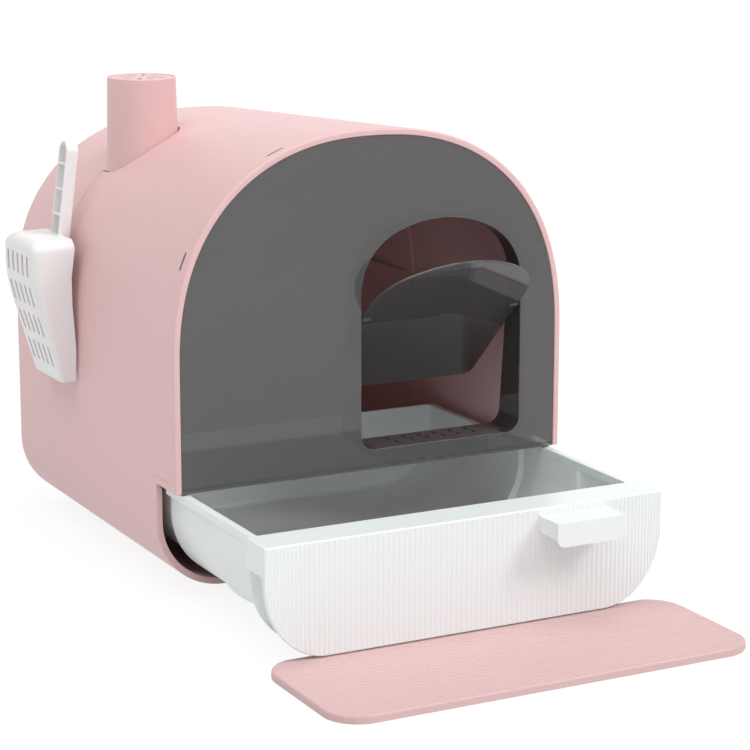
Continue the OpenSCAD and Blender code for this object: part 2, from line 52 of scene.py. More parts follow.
ahead = Vector((math.sin(camera_yaw) * math.cos(camera_pitch),
                math.cos(camera_yaw) * math.cos(camera_pitch), -math.sin(camera_pitch)))
across = Vector((math.cos(camera_yaw), -math.sin(camera_yaw), 0))
upward = across.cross(ahead)
aim = Matrix((across, upward, -ahead)).transposed() @ Matrix.Rotation(-camera_roll, 3, "Z")

lens = bpy.data.cameras.new("camera")
lens.sensor_fit = "HORIZONTAL"
lens.angle = 2 * math.atan(picture_px / 2 / focal_px)
lens.clip_end = sight_end * MM
camera = bpy.data.objects.new("camera", lens)
camera.matrix_world = Matrix.Translation(camera_place) @ aim.to_4x4()
bpy.context.collection.objects.link(camera)
bpy.context.scene.camera = camera
bpy.context.scene.view_settings.view_transform = "Standard"

# ---- Studio floor and light ----
# A plain white sweep and soft lamps: a key lamp from the front right, one overhead, a broad fill and a sky.
# The floor and sky look white to the camera and in gloss, and the floor keeps the object's soft shadow.


def to_linear(code):
    """Linear colour from an sRGB hex string such as "efcbcb"."""
    def curve(v):
        return v / 12.92 if v <= 0.04045 else ((v + 0.055) / 1.055) ** 2.4
    return tuple(curve(int(code[i:i + 2], 16) / 255) for i in (0, 2, 4)) + (1,)


def emptied(holder):
    """The node tree of a new material or world, with nothing in it yet."""
    holder.use_nodes = True
    holder.node_tree.nodes.clear()
    return holder.node_tree


def add_node(tree, kind, inputs=None, **settings):
    """Adds one node, with its settings and with each input set to a value or linked to a socket."""
    node = tree.nodes.new(kind)
    for name, value in settings.items():
        setattr(node, name, value)
    for name, value in (inputs or {}).items():
        if isinstance(value, bpy.types.NodeSocket):
            tree.links.new(value, node.inputs[name])
        else:
            node.inputs[name].default_value = value
    return node


def white_when_seen(tree, lit, seen, output):
    """Rays from the camera, gloss and glass meet the seen shader, and all the others the lit one."""
    rays = add_node(tree, "ShaderNodeLightPath").outputs
    shiny = add_node(tree, "ShaderNodeMath", {0: rays["Is Glossy Ray"], 1: rays["Is Transmission Ray"]},
                     operation="MAXIMUM")
    direct = add_node(tree, "ShaderNodeMath", {0: rays["Is Camera Ray"], 1: shiny.outputs[0]},
                      operation="MAXIMUM")
    mix = add_node(tree, "ShaderNodeMixShader", {0: direct.outputs[0], 1: lit.outputs[0], 2: seen.outputs[0]})
    add_node(tree, output, {"Surface": mix.outputs[0]})


white = (1, 1, 1, 1)
sky_level = 0.4
world = bpy.data.worlds.new("studio")
bpy.context.scene.world = world
sky = emptied(world)
sky_lamp = add_node(sky, "ShaderNodeBackground", {"Color": white, "Strength": sky_level})
sky_white = add_node(sky, "ShaderNodeBackground", {"Color": white, "Strength": 1})
white_when_seen(sky, sky_lamp, sky_white, "ShaderNodeOutputWorld")

# The sweep glows nearly white by itself, and a dark matt share of it takes the shadow
sweep_glow_level = 0.88
sweep_paint = bpy.data.materials.new("white_sweep")
sweep = emptied(sweep_paint)
sweep_matt = add_node(sweep, "ShaderNodeBsdfDiffuse", {"Color": to_linear("e8e8e8")})
sweep_glow = add_node(sweep, "ShaderNodeEmission", {"Color": white, "Strength": sweep_glow_level})
sweep_shade = add_node(sweep, "ShaderNodeBsdfDiffuse", {"Color": to_linear("707070")})
sweep_white = add_node(sweep, "ShaderNodeAddShader", {0: sweep_glow.outputs[0], 1: sweep_shade.outputs[0]})
white_when_seen(sweep, sweep_matt, sweep_white, "ShaderNodeOutputMaterial")

floor_half = 9000
floor_drop = 0.3
floor_corners = [(floor_half * x * MM, floor_half * y * MM, -floor_drop * MM)
                 for x, y in ((-1, -1), (1, -1), (1, 1), (-1, 1))]
floor_mesh = bpy.data.meshes.new("floor")
floor_mesh.from_pydata(floor_corners, [], [(0, 1, 2, 3)])
floor_mesh.materials.append(sweep_paint)
floor = bpy.data.objects.new("floor", floor_mesh)
bpy.context.collection.objects.link(floor)


def add_lamp(name, towards, level, spread):
    """A far soft lamp: the direction towards it, its light on a white face turned to it, and its angle."""
    lamp = bpy.data.lights.new(name, "SUN")
    lamp.energy = level * math.pi
    lamp.angle = math.radians(spread)
    holder = bpy.data.objects.new(name, lamp)
    holder.rotation_euler = Vector(towards).to_track_quat("Z", "Y").to_euler()
    bpy.context.collection.objects.link(holder)


add_lamp("key_lamp", (0.534, -0.519, 0.667), 0.375, 22)
add_lamp("top_lamp", (-0.19, -0.14, 0.97), 0.385, 60)
add_lamp("fill_lamp", (-0.25, -0.7, 0.67), 0.13, 90)

# ---- Housing shell ----
# One pink polypropylene moulding: an arched hood over a base with rounded lower corners, open to the front.
# Its walls are 3.2 mm, thicker round the hood mouth and the drawer mouth. A low plinth is set in under it.
# Heights below are counted from the underside of the base: all but the mat is lifted by the plinth's height.

import bmesh

half_width = 227.5
half_depth = 235
rear_narrowing = 1.5
spring_height = 248.7
front_rise = 230.9
rear_rise = 204.4
arch_power = 2.307
corner_radius = 76
wall = 3.2
rim = 6.8
rim_depth = 13
base_rim = 7
base_front = -182.5
plinth_height = 8.4
plinth_half = 140
plinth_front = -140
plinth_back = 226
hood_edge = 119
seam = 1
cover_front = 99
arch_steps = 96
corner_steps = 16
seam_height = spring_height - seam
arch_turns = [math.pi * i / arch_steps for i in range(arch_steps + 1)]
# Heights of the points down each side
side_heights = (seam_height, 243, 215, 185, 155, 126, hood_edge, 112, 95)
# A hair's breadth, for telling places apart
hair = 0.01


def arc(cx, cz, radius, first, last, steps):
    """Points of a circular arc between two angles in degrees."""
    turns = [math.radians(first + (last - first) * i / steps) for i in range(steps + 1)]
    return [(cx + radius * math.cos(a), cz + radius * math.sin(a)) for a in turns]


def both_sides(left):
    """An outline made of its left half and the mirrored half."""
    return left + [(-x, z) for x, z in reversed(left)]


def side_half(y):
    """Half width of the housing at depth y."""
    return half_width - rear_narrowing * (y + half_depth) / (2 * half_depth)


def arch_rise(y):
    """Rise of the arch over the springing at depth y: the roof falls to the rear."""
    return front_rise + (rear_rise - front_rise) * (y + half_depth) / (2 * half_depth)


def roof_height(x, y, inset=0):
    """Height of the roof over a point, or of the surface that lies inset below it."""
    share = min(1, abs(x) / (side_half(y) - inset))
    return spring_height + (arch_rise(y) - inset) * (1 - share ** arch_power) ** (1 / arch_power)


def arch_point(turn, half, rise):
    """Point of the arch at a turn from the right, its height counted from the springing."""
    c, s = math.cos(turn), max(0, math.sin(turn))
    return half * math.copysign(abs(c) ** (2 / arch_power), c), rise * s ** (2 / arch_power)


def body_outline(y, inset, turns=arch_turns):
    """Closed outline of the housing at depth y, as (x, z), from the right springing over the arch."""
    half, rise, corner = side_half(y) - inset, arch_rise(y) - inset, corner_radius - inset
    arch = [arch_point(turn, half, rise) for turn in turns]
    left = [(-half, z) for z in side_heights]
    left += arc(corner - half, inset + corner, corner, 180, 270, corner_steps)
    left += [(share * (half - corner), inset) for share in (-0.6, -0.2)]
    return [(x, spring_height + z) for x, z in arch] + both_sides(left)


def at_depth(y, outline):
    """The points of an outline, set at a depth."""
    return [(x, y, z) for x, z in outline]


def skin(outside, inside, kept=lambda j, i: True, wrap=False, start_cap=None, end_cap=None):
    """Closed wall between two grids of points. kept(row, column) says which cells it has. A cap closes the
    first or last row with flat plates, over the columns from its first to its second number."""
    bm = bmesh.new()
    outer, inner = ([[bm.verts.new(point) for point in row] for row in side]
                    for side in (outside, inside))
    rows, count = len(outer) - 1, len(outer[0])
    columns = count if wrap else count - 1

    def has(j, i):
        return 0 <= j < rows and (wrap or 0 <= i < columns) and kept(j, i % count)

    def edge_wall(a, b):
        (ja, ia), (jb, ib) = a, b
        bm.faces.new((outer[ja][ia], outer[jb][ib], inner[jb][ib], inner[ja][ia]))

    def capped(cap, i):
        return cap is not None and cap[0] <= i < cap[1]

    for j in range(rows):
        for i in range(columns):
            if not has(j, i):
                continue
            k = (i + 1) % count
            for side in (outer, inner):
                bm.faces.new((side[j][i], side[j][k], side[j + 1][k], side[j + 1][i]))
            if not has(j - 1, i) and not (j == 0 and capped(start_cap, i)):
                edge_wall((j, i), (j, k))
            if not has(j + 1, i) and not (j == rows - 1 and capped(end_cap, i)):
                edge_wall((j + 1, k), (j + 1, i))
            if not has(j, i - 1):
                edge_wall((j + 1, i), (j, i))
            if not has(j, i + 1):
                edge_wall((j, k), (j + 1, k))
    for cap, row in ((start_cap, 0), (end_cap, -1)):
        if cap is not None:
            for side in (outer, inner):
                bm.faces.new([side[row][i % count] for i in range(cap[0], cap[1] + 1)][:count])
            if cap[1] - cap[0] < count:
                edge_wall((row, cap[0]), (row, cap[1] % count))
    bmesh.ops.delete(bm, geom=[v for v in bm.verts if not v.link_faces], context="VERTS")
    bmesh.ops.recalc_face_normals(bm, faces=bm.faces)
    return bm


def loft(rings):
    """Solid whose surface joins closed rings of points, each to the next, and closes both end rings."""
    bm = bmesh.new()
    rows = [[bm.verts.new(point) for point in ring] for ring in rings]
    for low, high in zip(rows, rows[1:]):
        for i in range(len(low)):
            k = (i + 1) % len(low)
            bm.faces.new((low[i], low[k], high[k], high[i]))
    bm.faces.new(rows[0])
    bm.faces.new(rows[-1])
    bmesh.ops.recalc_face_normals(bm, faces=bm.faces)
    return bm


def turned(profile, steps=96):
    """A solid of revolution about Z from (radius, height) pairs, closed at both ends."""
    turns = [2 * math.pi * k / steps for k in range(steps)]
    return loft([[(r * math.cos(a), r * math.sin(a), z) for a in turns] for r, z in profile])


def rod(radius, length, steps=40, rounding=0.4):
    """A round bar along +Z from the origin, its end edges rounded."""
    return turned([(radius - rounding, 0), (radius, rounding), (radius, length - rounding),
                   (radius - rounding, length)], steps)


def extrude(outlines, low, high):
    """Solid plate between two depths from closed outlines: the first is the rim, the others are holes."""
    bm = bmesh.new()
    edges = []
    for outline in outlines:
        ring = [bm.verts.new((x, low, z)) for x, z in outline]
        edges += [bm.edges.new((ring[i], ring[(i + 1) % len(ring)])) for i in range(len(ring))]
    if len(outlines) == 1:
        bm.faces.new(ring)
    else:
        bmesh.ops.triangle_fill(bm, use_beauty=True, use_dissolve=False, edges=edges)
    grown = bmesh.ops.extrude_face_region(bm, geom=bm.faces[:], use_keep_orig=True)
    moved = [v for v in grown["geom"] if isinstance(v, bmesh.types.BMVert)]
    bmesh.ops.translate(bm, vec=(0, high - low, 0), verts=moved)
    bmesh.ops.recalc_face_normals(bm, faces=bm.faces)
    return bm


def block(x0, x1, y0, y1, z0, z1):
    """A rectangular solid."""
    return extrude([[(x0, z0), (x1, z0), (x1, z1), (x0, z1)]], y0, y1)


def round_edges(bm, width, chosen=lambda middle: True, segments=3, sharper_than=35):
    """Rounds the sharp edges of a mesh whose middle point is chosen, and gives the mesh back."""
    limit = math.radians(sharper_than)
    edges = [e for e in bm.edges if len(e.link_faces) == 2 and e.calc_face_angle(0) > limit
             and chosen((e.verts[0].co + e.verts[1].co) / 2)]
    bmesh.ops.bevel(bm, geom=edges, offset=width, segments=segments, profile=0.5, affect="EDGES",
                    clamp_overlap=True)
    return bm


def shift(x, y, z):
    """A move by three lengths."""
    return Matrix.Translation((x, y, z))


def spin(axis, degrees):
    """A turn about an axis through the origin."""
    return Matrix.Rotation(math.radians(degrees), 4, axis)


# These turn a plate, whose thickness runs along Y, so that it runs along Z or along X
through_z = spin("X", 90)
through_x = Matrix(((0, 1, 0), (1, 0, 0), (0, 0, 1))).to_4x4()


def new_piece(name, bm, place=None, lift=plinth_height):
    """Turns a mesh in millimetres into an object in metres, and says nothing yet of its body or finish."""
    if place is not None:
        bm.transform(place)
        if place.determinant() < 0:
            bmesh.ops.reverse_faces(bm, faces=bm.faces)
    bm.transform(Matrix.Scale(MM, 4) @ Matrix.Translation((0, 0, lift)))
    mesh = bpy.data.meshes.new(name)
    bm.to_mesh(mesh)
    bm.free()
    piece = bpy.data.objects.new(name, mesh)
    bpy.context.collection.objects.link(piece)
    return piece


def combine(piece, other, how):
    """Joins another solid to the piece, or cuts it out of the piece, and removes the other one."""
    step = piece.modifiers.new(how.lower(), "BOOLEAN")
    step.operation = how
    step.object = other
    step.solver = "EXACT"
    shape = bpy.data.meshes.new_from_object(piece.evaluated_get(bpy.context.evaluated_depsgraph_get()))
    piece.modifiers.clear()
    piece.data = shape
    bpy.data.objects.remove(other)


def join(piece, bm, place=None):
    """Adds a solid to a piece."""
    combine(piece, new_piece("added", bm, place), "UNION")


def cut(piece, bm, place=None):
    """Cuts a solid out of a piece."""
    combine(piece, new_piece("cutter", bm, place), "DIFFERENCE")


def dress(piece, finish, body, node, smooth_below=38):
    """Shades a piece smoothly between crisp edges and flat faces, and gives it its finish, its body and
    its material slot; it hides the CAD node that it stands for."""
    piece.data.shade_smooth()
    piece.data.set_sharp_from_angle(angle=math.radians(smooth_below))
    step = piece.modifiers.new("flat_faces", "WEIGHTED_NORMAL")
    step.keep_sharp = True
    step.weight = 90
    piece.data.materials.clear()
    piece.data.materials.append(finish)
    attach(piece, body)
    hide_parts(node)


# The thick rims end in a short step on the inside, behind the hood mouth and behind the drawer mouth
hood_step = -half_depth + rim_depth
base_step = base_front + rim_depth
body_depths = (-half_depth, -228, hood_step, hood_step + 1.5, -205, -192, base_front, -176, base_step,
               base_step + 1.5, -150, -120, -80, -40, 0, 40, 75, cover_front - seam, 115, 145, 175, 205, 222)
# Rows round the back edge: outer depth and inset, then inner depth and extra inset
back_round = 2
back_rows = []
for turn, inner_y, extra in ((0, 228.8, 0), (30, 230.2, 0.2), (60, 231.2, 0.9), (90, 231.8, 2.2)):
    swing = math.radians(turn)
    back_rows.append((half_depth - back_round * (1 - math.sin(swing)), back_round * (1 - math.cos(swing)),
                      inner_y, extra))


def wall_rows(depths, inner_inset, turns=arch_turns):
    """Outer and inner grid rows of the housing wall, at plain depths and then round the back edge."""
    outer, inner = [], []
    for y in depths:
        outline = body_outline(y, 0, turns)
        outer.append(at_depth(y, outline))
        inside = [body_outline(y, inner_inset(y, z), turns)[i] for i, (x, z) in enumerate(outline)]
        inner.append(at_depth(y, inside))
    for y, inset, inner_y, extra in back_rows:
        outer.append(at_depth(y, body_outline(y, inset, turns)))
        inner.append(at_depth(inner_y, body_outline(inner_y, wall + extra, turns)))
    return outer, inner


def shell_inset(y, z):
    """Thickness of the shell's wall at a depth and height."""
    if z > hood_edge - hair:
        return rim if y < hood_step + hair else wall
    return base_rim if y < base_step + hair else wall


outer, inner = wall_rows(body_depths, shell_inset)


def in_body(j, i):
    """True where the shell has a wall: not below the hood in front of the base, nor where the cover is."""
    y = (outer[j][i][1] + outer[j + 1][i][1]) / 2
    z = (outer[j][i][2] + outer[j][(i + 1) % len(outer[0])][2]) / 2
    if z < hood_edge:
        return y > base_front
    return y < cover_front - seam or z < seam_height


shell_round = 1.1
mouth_round = 2.2
mouth_band = 3


def on_mouth(p):
    """True on the outer edge of the hood mouth."""
    outermost = abs(p.x) > half_width - mouth_band or p.z > roof_height(p.x, -half_depth, mouth_band)
    return p.y < 1 - half_depth and outermost


bm = skin(outer, inner, in_body, wrap=True, end_cap=(arch_steps + 1, len(outer[0]) - 1))
round_edges(bm, shell_round, lambda p: p.y < base_front + 1 and not on_mouth(p))
round_edges(bm, mouth_round, on_mouth, segments=4)
round_edges(bm, shell_round, lambda p: p.y > cover_front - seam - 1)
body_shell = new_piece("housing_shell", bm)
plinth = block(-plinth_half, plinth_half, plinth_front, plinth_back, -plinth_height, 1)
join(body_shell, round_edges(plinth, 1.5, lambda p: p.z < 0))

chimney_x = -127
chimney_y = 81
chimney_foot_radius = 40.8
notch_back = 130
notch_low = 380
above_all = 560


def chimney_notch(play):
    """Solid that cuts room for the chimney foot: round in front, straight sides back to the cover."""
    radius = chimney_foot_radius + play
    outline = arc(chimney_x, -chimney_y, radius, 180, 0, 48)
    outline += [(chimney_x + radius, -notch_back), (chimney_x - radius, -notch_back)]
    return extrude([outline], notch_low, above_all)


cut(body_shell, chimney_notch(seam), through_z)

# Inner lip that the rear cover closes over: under the arch, along both sides and across the back. Its insets
# reach into the shell's wall in front of the seam and stand clear of the cover behind it.
lip_inside = 6.3
lip_in_wall = 3.0
lip_in_side = 2.8
lip_clear = 3.8
lip_front = cover_front - 9
lip_back = cover_front + 8
lip_low = 240
lip_top = seam_height + 9
lip_play = 2.5
back_lip_half = 221
lip_rows = ((lip_front, lip_in_wall), (cover_front - seam - 0.5, lip_in_wall),
            (cover_front - seam + 0.5, lip_clear), (lip_back, lip_clear))


def under_arch(y, inset):
    """Points of the arch at a depth, set in from the outside."""
    return at_depth(y, body_outline(y, inset)[:arch_steps + 1])


arch_lip = new_piece("arch_lip", skin([under_arch(y, inset) for y, inset in lip_rows],
                                      [under_arch(y, lip_inside) for y, inset in lip_rows]))
cut(arch_lip, chimney_notch(lip_play), through_z)
combine(body_shell, arch_lip, "UNION")
side_lip = ((lip_inside, lip_low), (lip_in_side, lip_low), (lip_in_side, seam_height - 0.5),
            (lip_clear, seam_height + 0.5), (lip_clear, lip_top), (lip_inside, lip_top))
for side in (-1, 1):
    outline = [(side * (side_half(160) - inset), z) for inset, z in side_lip]
    join(body_shell, extrude([outline], lip_front, 230))
join(body_shell, block(-back_lip_half, back_lip_half, 228.9, 232.4, lip_low, seam_height - 0.5))
join(body_shell, block(-back_lip_half - 0.2, back_lip_half + 0.2, 229, 231.2, lip_low - 1, lip_top))

# A fine mould line turns a corner low on the left side, behind the hood's front edge
outside_left = -229
cut(body_shell, block(outside_left, -227.1, -221.5, -220.9, 127.2, 147))
cut(body_shell, block(outside_left, -227.05, -221.4, -178, 127.25, 127.85))

# Slots near the hood mouth, where the panel's snap tabs show
tab_angles = (24.6, 65.4, 114.6, 155.4)
slot_length = 20
slot_width = 4.4
slot_y = hood_step + slot_width / 2 + 0.1


def on_arch(angle):
    """Place on the hood near the slots, with X pointing out of the surface, Y along the depth."""
    half, rise = side_half(slot_y), arch_rise(slot_y)
    x, z = arch_point(math.radians(angle), half, rise)
    slope_x = math.copysign((abs(x) / half) ** (arch_power - 1), x) / half
    slope_z = (z / rise) ** (arch_power - 1) / rise
    out = Vector((slope_x, 0, slope_z)).normalized()
    along = Vector((0, 1, 0))
    axes = Matrix((out, along, out.cross(along))).transposed()
    return shift(x, slot_y, spring_height + z) @ axes.to_4x4()


def slot_outline(width, length, steps=8):
    """A slot with round ends, its length along the second coordinate."""
    r = width / 2
    return arc(0, length / 2 - r, r, 0, 180, steps) + arc(0, r - length / 2, r, 180, 360, steps)


for angle in tab_angles:
    cut(body_shell, extrude([slot_outline(slot_width, slot_length)], -8, 8), on_arch(angle) @ through_x)


def new_finish(name):
    """A new material, its empty node tree, and the coordinates that its patterns follow."""
    finish = bpy.data.materials.new(name)
    tree = emptied(finish)
    return finish, tree, add_node(tree, "ShaderNodeTexCoord").outputs["Object"]


def polypropylene(name, colour, roughness, grain_mm=0.7, grain_depth=0.01, mottle=0.012):
    """Moulded polypropylene: a soft satin skin from a spark-eroded mould, with slight flow shades.
    The eroded grain is finer than a tenth of a millimetre and is drawn coarser, so that it shows at all."""
    finish, tree, place = new_finish(name)
    flow = add_node(tree, "ShaderNodeTexNoise", {"Vector": place, "Scale": 1 / (90 * MM), "Detail": 2})
    grain = add_node(tree, "ShaderNodeTexNoise", {"Vector": place, "Scale": 1 / (grain_mm * MM), "Detail": 3})
    base = to_linear(colour)
    darker = tuple(v * (1 - 2 * mottle) for v in base[:3]) + (1,)
    shades = add_node(tree, "ShaderNodeMix", {0: flow.outputs["Fac"], 6: darker, 7: base}, data_type="RGBA")
    gloss = add_node(tree, "ShaderNodeMapRange", {"Value": grain.outputs["Fac"], "To Min": roughness - 0.05,
                                                  "To Max": roughness + 0.05})
    bump = add_node(tree, "ShaderNodeBump", {"Height": grain.outputs["Fac"], "Strength": 0.25,
                                             "Distance": grain_depth * MM})
    satin = add_node(tree, "ShaderNodeBsdfPrincipled",
                     {"Base Color": shades.outputs[2], "Roughness": gloss.outputs[0], "IOR": 1.49,
                      "Normal": bump.outputs[0]})
    add_node(tree, "ShaderNodeOutputMaterial", {"Surface": satin.outputs[0]})
    return finish


pink_plastic = polypropylene("pink_polypropylene", "e9c1c1", 0.42)
dress(body_shell, pink_plastic, "housing", "body_shell")

# ---- Rear cover and chimney ----
# The upper rear of the arch is a separate pink cover, with a tapered chimney that the filter hangs in.
# Its seam runs over the roof, round the front of the chimney foot and back along both sides.

chimney_top_radius = 38
chimney_top = 509.6
chimney_low = 380
ledge_radius = 33.2
cap_radius = 34.9
cap_thick = 3
ledge_height = chimney_top - 0.5 - cap_thick
chimney_steps = 128
foot_depth = 12
rim_round = 1.1
# The chimney stands sharply on the roof in front, and a fillet grows round its foot towards the rear
fillet_least = 0.3
fillet_growth = 9
fillet_run = 14

# The cover reaches forward on both sides of the chimney, in a tongue as wide as the chimney's foot
tongue = (chimney_x - chimney_foot_radius, chimney_x + chimney_foot_radius)
tongue_turns = [math.acos(-(abs(x) / side_half(90)) ** (arch_power / 2)) for x in tongue]
cover_turns = [a for a in arch_turns if min(abs(a - b) for b in tongue_turns) > 0.25 * math.pi / arch_steps]
cover_turns = sorted(cover_turns + tongue_turns)
cover_depths = (chimney_y, 90, cover_front, 106, 118, 135, 155, 175, 200, 222)
outer, inner = wall_rows(cover_depths, lambda y, z: wall, cover_turns)


def in_cover(j, i):
    """True where the cover has a wall: on the arch behind the seam, and in the tongue."""
    middle_x = (outer[j][i][0] + outer[j][(i + 1) % len(outer[j])][0]) / 2
    behind = outer[j][i][1] > cover_front - 0.1
    return i < len(cover_turns) - 1 and (behind or tongue[0] < middle_x < tongue[1])


bm = skin(outer, inner, in_cover, wrap=True, end_cap=(0, len(cover_turns) - 1))
rear_cover = new_piece("rear_hood", round_edges(bm, 0.8))


def chimney_radius(z):
    """Outer radius of the tapered chimney at a height."""
    share = (z - chimney_low) / (chimney_top - chimney_low)
    return chimney_foot_radius + (chimney_top_radius - chimney_foot_radius) * share


def chimney_column(turn):
    """Points up the chimney's outside at one turn: from inside the roof, over the fillet, to the rim."""
    c, s = math.cos(turn), math.sin(turn)

    def at(radius, z):
        return Vector((chimney_x + radius * c, chimney_y + radius * s, z))

    def on_roof(radius, lift=0, inset=0):
        return at(radius, roof_height(chimney_x + radius * c, chimney_y + radius * s, inset) + lift)

    behind = min(1, max(0, (chimney_y + chimney_foot_radius * s - cover_front + 2) / fillet_run))
    soft = fillet_least + fillet_growth * behind * behind * (3 - 2 * behind)
    radius = chimney_radius(on_roof(chimney_foot_radius).z)
    start, bend = on_roof(radius + soft, -0.06), on_roof(radius)
    end = bend + Vector((0, 0, soft))
    column = [on_roof(radius + 0.6, 0, foot_depth), on_roof(radius + soft * 0.8, -1.6)]
    column += [start.lerp(bend, t).lerp(bend.lerp(end, t), t) for t in (0, 0.15, 0.3, 0.45, 0.6, 0.8, 1)]
    for share in (0.33, 0.66, 1):
        z = end.z + (chimney_top - rim_round - end.z) * share
        column.append(at(chimney_radius(z), z))
    for tip in (30, 60, 90):
        tilt = math.radians(tip)
        column.append(at(chimney_top_radius - rim_round * (1 - math.cos(tilt)),
                         chimney_top - rim_round * (1 - math.sin(tilt))))
    return column


chimney_columns = [chimney_column(2 * math.pi * k / chimney_steps) for k in range(chimney_steps)]
bore_profile = [(ledge_radius, 300), (ledge_radius, ledge_height), (cap_radius + 0.3, ledge_height + hair),
                (cap_radius + 0.3, chimney_top - 0.4), (cap_radius + 1.2, chimney_top + 0.5),
                (cap_radius + 1.2, above_all)]
join(rear_cover, loft(zip(*chimney_columns)))
cut(rear_cover, turned(bore_profile), shift(chimney_x, chimney_y, 0))

# Two hinges on the back wall: one barrel of the shell between two of the cover, level with the seam
hinge_y = half_depth + 4.9
hinge_radius = 4.5
hinge_foot = half_depth - 1.5
hinge_places = (-120, 120)
hinge_body_half = 8
hinge_cover_width = 10
hinge_gap = 0.4


def knuckle(x0, length, way):
    """Hinge barrel along X with a foot on the back wall, below (-1) or above (1) the hinge line."""
    outline = arc(hinge_y, spring_height, hinge_radius, -180 * way, 0, 15)
    outline += [(hinge_y + hinge_radius, spring_height + way * 3), (hinge_foot, spring_height + way * 12),
                (hinge_foot, spring_height)]
    return round_edges(extrude([outline], x0, x0 + length), 0.5, segments=2)


for x in hinge_places:
    join(body_shell, knuckle(x - hinge_body_half, 2 * hinge_body_half, -1), through_x)
    for x0 in (x - hinge_body_half - hinge_gap - hinge_cover_width, x + hinge_body_half + hinge_gap):
        join(rear_cover, knuckle(x0, hinge_cover_width, 1), through_x)
dress(rear_cover, pink_plastic, "cover", "rear_cover")

# ---- Chimney cap ----
# A flat pink disc closes the chimney just below its rim; ten slots and two finger holes let the air out.

vents = 10
vent_width = 2.4
vent_length = 17
vent_reach = 19.5
vent_start = 44
finger_reach = 22
finger_radius = 2.6
finger_turn = -28
cap_profile = [(cap_radius - 0.5, 0), (cap_radius, 0.5), (cap_radius, cap_thick - 0.6),
               (cap_radius - 0.2, cap_thick - 0.2), (cap_radius - 0.6, cap_thick)]
at_cap = shift(chimney_x, chimney_y, ledge_height)
chimney_cap = new_piece("vent_cap", turned(cap_profile), at_cap)
for i in range(vents):
    place = at_cap @ spin("Z", vent_start + 360 / vents * i) @ shift(0, vent_reach, 0)
    cut(chimney_cap, extrude([slot_outline(vent_width, vent_length)], -1, cap_thick + 1), place @ through_z)
for reach in (-finger_reach, finger_reach):
    place = at_cap @ spin("Z", finger_turn) @ shift(0, reach, -1)
    cut(chimney_cap, rod(finger_radius, cap_thick + 2, 32, hair), place)
dress(chimney_cap, pink_plastic, "filter_unit", "chimney_cap")

# ---- Front panel ----
# A flat tinted plate, glossy on both sides, fills the hood mouth; four snap tabs behind it catch in the hood.

panel_front = -half_depth + 1
panel_thickness = 2.6
panel_back = panel_front + panel_thickness
panel_play = 0.2
panel_edge = hood_edge - 0.4
panel_line_low = 122.2
panel_line_high = 123.5
panel_line_depth = 0.9
entrance_x = 81.2
entrance_half = 96.1
shoulder_radius = 68.9
crown_radius = 132.6
sill = 140
entrance_top = 381.2
sill_radius = 16


def door_half(half, low, top, foot, shoulder, shoulder_z, crown, foot_steps, steps=18):
    """Right half of a door's outline from its lower edge up: a foot, a shoulder and a crown arc."""
    crown_z, shoulder_x = top - crown, half - shoulder
    turn = math.degrees(math.atan2(shoulder_z - crown_z, shoulder_x))
    return (arc(half - foot, low + foot, foot, -90, 0, foot_steps)
            + arc(shoulder_x, shoulder_z, shoulder, 0, turn, steps)
            + arc(0, crown_z, crown, turn, 90, steps)[1:])


def entrance_outline(grow):
    """Right half of the entrance about its own middle, grown outwards; its arcs meet without a corner."""
    shoulder, crown = shoulder_radius + grow, crown_radius + grow
    half, top = entrance_half + grow, entrance_top + grow
    shoulder_z = top - crown + math.sqrt((crown - shoulder) ** 2 - (half - shoulder) ** 2)
    return door_half(half, sill - grow, top, sill_radius + grow, shoulder, shoulder_z, crown, 10)


def mirrored(half_points, middle):
    """Closed outline from its right half, set about a middle."""
    left = [(-x, z) for x, z in reversed(half_points) if x > 0.001]
    return [(middle + x, z) for x, z in half_points + left]


panel_outline = body_outline(-half_depth, rim + panel_play)[:arch_steps + 1]
panel_outline += [(panel_outline[-1][0], z) for z in (200, 160, panel_edge)]
panel_outline += [(panel_outline[0][0], z) for z in (panel_edge, 160, 200)]
bm = extrude([panel_outline, mirrored(entrance_outline(0), entrance_x)], panel_front, panel_back)
front_panel = new_piece("tinted_panel", round_edges(bm, 0.5))
# A fine line runs across the plate just above its lower edge
line_half = half_width - rim - panel_play + 1
cut(front_panel, block(-line_half, line_half, panel_front - 1, panel_front + panel_line_depth,
                       panel_line_low, panel_line_high))

tab_arm_inset = rim + 0.7
tab_arm_thick = 2.4
tab_play = 0.15
tab_recess = 0.8
tab_half = slot_width / 2 - tab_play
for angle in tab_angles:
    arm = block(-tab_arm_inset - tab_arm_thick, -tab_arm_inset, panel_back - slot_y - 0.5, tab_half,
                -slot_length / 2 + 1, slot_length / 2 - 1)
    join(front_panel, arm, on_arch(angle))
    snap_outline = slot_outline(2 * tab_half, slot_length - 2 * tab_play)
    join(front_panel, extrude([snap_outline], -tab_arm_inset - 0.5, -tab_recess), on_arch(angle) @ through_x)


def tinted_clear(name, colour, see_through, roughness=0.035):
    """Smoke-tinted clear styrene, polished in the mould: mirror-like gloss over a deep grey body colour.
    The melt leaves a very slight waviness, which bends the reflections a little."""
    finish, tree, place = new_finish(name)
    wave = add_node(tree, "ShaderNodeTexNoise", {"Vector": place, "Scale": 1 / (60 * MM), "Detail": 1})
    bump = add_node(tree, "ShaderNodeBump", {"Height": wave.outputs["Fac"], "Strength": 0.3,
                                             "Distance": 0.05 * MM})
    body = add_node(tree, "ShaderNodeBsdfPrincipled",
                    {"Base Color": to_linear(colour), "Roughness": roughness, "IOR": 1.5,
                     "Transmission Weight": see_through, "Normal": bump.outputs[0]})
    add_node(tree, "ShaderNodeOutputMaterial", {"Surface": body.outputs[0]})
    return finish
